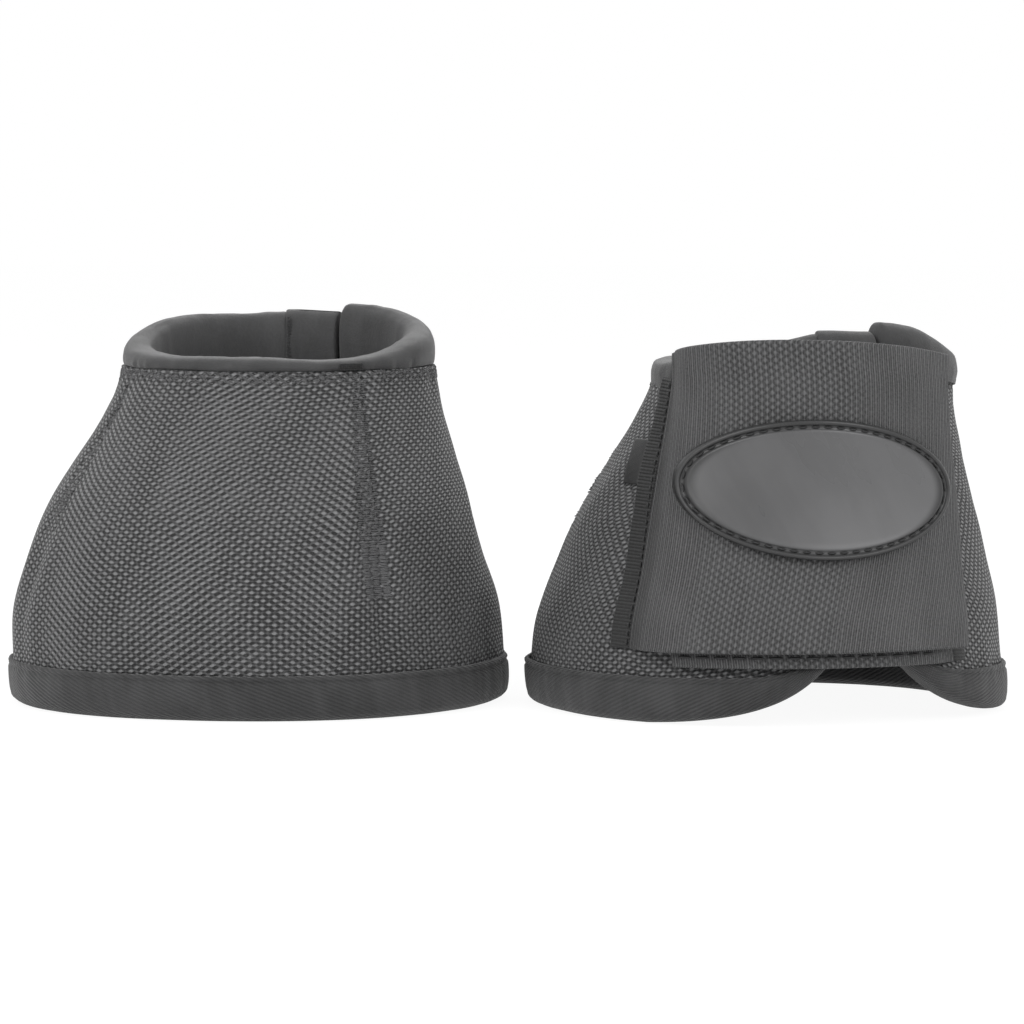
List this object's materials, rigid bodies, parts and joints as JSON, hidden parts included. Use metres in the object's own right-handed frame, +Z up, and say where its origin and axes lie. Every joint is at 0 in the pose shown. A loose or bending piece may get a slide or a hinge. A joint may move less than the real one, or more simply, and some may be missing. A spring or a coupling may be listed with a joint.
{
  "type": "pair of bell boots",
  "caption": "Pair of padded fabric bell boots for a horse's front feet, each with a rolled collar, a bound hem and a double hook-and-loop closure at the rear.",
  "frame": {"origin": "middle of the pair's overall box, on the floor", "axes": "+X from the left boot to the right boot as they stand, +Y away from the viewer, +Z up"},
  "size_m": [0.2984, 0.176, 0.1171],
  "materials": {
    "ballistic_nylon": "coarse woven nylon with a slight sheen",
    "neoprene_foam": "closed-cell foam",
    "jersey_lining": "dull brushed jersey",
    "collar_fabric": "smooth stretch fabric",
    "binding_tape": "fine twill tape",
    "hook_tape": "ribbed nylon back of hook tape",
    "hook_face": "stiff nylon hooks",
    "loop_tape": "brushed nylon loops",
    "thread": "bonded nylon thread",
    "woven_label": "satin-woven label",
    "badge_rubber": "satin moulded rubber"
  },
  "bodies": {
    "left_boot": {"left_collar_cover": "collar_fabric", "left_collar_foam": "neoprene_foam", "left_collar_tongue": "collar_fabric", "left_dart_bartacks": "thread", "left_dart_stitching": "thread", "left_foam_core": "neoprene_foam", "left_hem_binding": "binding_tape", "left_inner_flap_margin": "hook_tape", "left_lining": "jersey_lining", "left_outer_flap_margin": "hook_tape", "left_outer_flap_stitching": "thread", "left_outer_shell": "ballistic_nylon", "left_shell_loop_tape": "loop_tape", "left_size_label": "woven_label", "left_slit_binding": "binding_tape"},
    "left_outer_flap": {"left_badge": "badge_rubber", "left_badge_stitching": "thread", "left_outer_flap": "hook_tape", "left_outer_flap_hooks": "hook_face"},
    "left_inner_flap": {"left_inner_flap": "hook_tape", "left_inner_flap_hooks": "hook_face", "left_inner_flap_loops": "loop_tape", "left_inner_flap_stitching": "thread"},
    "right_boot": {"right_collar_cover": "collar_fabric", "right_collar_foam": "neoprene_foam", "right_collar_tongue": "collar_fabric", "right_dart_bartacks": "thread", "right_dart_stitching": "thread", "right_foam_core": "neoprene_foam", "right_hem_binding": "binding_tape", "right_inner_flap_margin": "hook_tape", "right_lining": "jersey_lining", "right_outer_flap_margin": "hook_tape", "right_outer_flap_stitching": "thread", "right_outer_shell": "ballistic_nylon", "right_shell_loop_tape": "loop_tape", "right_size_label": "woven_label", "right_slit_binding": "binding_tape"},
    "right_outer_flap": {"right_badge": "badge_rubber", "right_badge_stitching": "thread", "right_outer_flap": "hook_tape", "right_outer_flap_hooks": "hook_face"},
    "right_inner_flap": {"right_inner_flap": "hook_tape", "right_inner_flap_hooks": "hook_face", "right_inner_flap_loops": "loop_tape", "right_inner_flap_stitching": "thread"}
  },
  "joints": [
    {"name": "left_outer_flap_hinge", "type": "hinge", "parent": "left_boot", "child": "left_outer_flap", "pos_m": [-0.11789, 0.05573, 0.06575], "axis": [0.1674, -0.1572, 0.9733], "range_deg": [0, 130]},
    {"name": "left_inner_flap_hinge", "type": "hinge", "parent": "left_boot", "child": "left_inner_flap", "pos_m": [-0.02799, 0.0599, 0.05725], "axis": [0.1042, 0.0913, -0.9904], "range_deg": [0, 26]},
    {"name": "right_outer_flap_hinge", "type": "hinge", "parent": "right_boot", "child": "right_outer_flap", "pos_m": [0.04161, -0.06134, 0.06575], "axis": [-0.1467, -0.1565, -0.9767], "range_deg": [0, 130]},
    {"name": "right_inner_flap_hinge", "type": "hinge", "parent": "right_boot", "child": "right_inner_flap", "pos_m": [0.1274, -0.0563, 0.05725], "axis": [-0.1006, 0.0637, 0.9929], "range_deg": [0, 26]},
    {"name": "right_boot_slide", "type": "slide", "parent": "left_boot", "child": "right_boot", "axis": [1, 0, 0], "range_m": [0, 0.15]}
  ],
  "couplings": [
    {"joint": "left_inner_flap_hinge", "follows": "left_outer_flap_hinge", "ratio": 0.2},
    {"joint": "right_inner_flap_hinge", "follows": "right_outer_flap_hinge", "ratio": 0.2}
  ]
}
